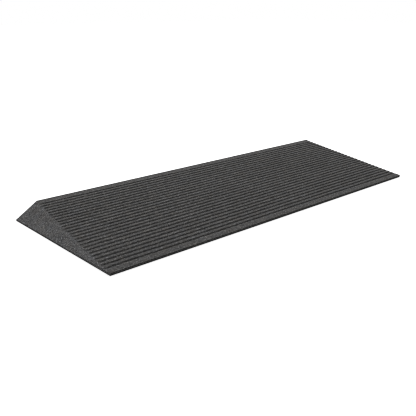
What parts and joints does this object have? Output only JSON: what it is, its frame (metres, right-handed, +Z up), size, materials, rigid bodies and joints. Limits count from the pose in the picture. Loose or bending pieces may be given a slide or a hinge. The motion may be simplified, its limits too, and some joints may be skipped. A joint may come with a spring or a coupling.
{
  "type": "threshold ramp",
  "caption": "Low rubber-crumb doorway ramp for wheelchairs: a ribbed wedge on a flat backing sheet, with a bevelled wing flaring out at each side towards the sill.",
  "frame": {"origin": "on the floor, at the centre of the footprint's bounding box", "axes": "+Z up; +Y runs uphill from the front edge to the sill face; +X to the right for a person going up the ramp, along its width"},
  "size_m": [1.0174, 0.3556, 0.0365],
  "materials": {
    "grey_crumb": "matt fine-grained bonded rubber crumb",
    "black_crumb": "matt coarse-grained bonded rubber crumb"
  },
  "bodies": {
    "root": {"base_sheet": "black_crumb", "ramp_core": "black_crumb", "tread_layer": "grey_crumb", "left_wing": "grey_crumb", "right_wing": "grey_crumb"}
  },
  "joints": []
}
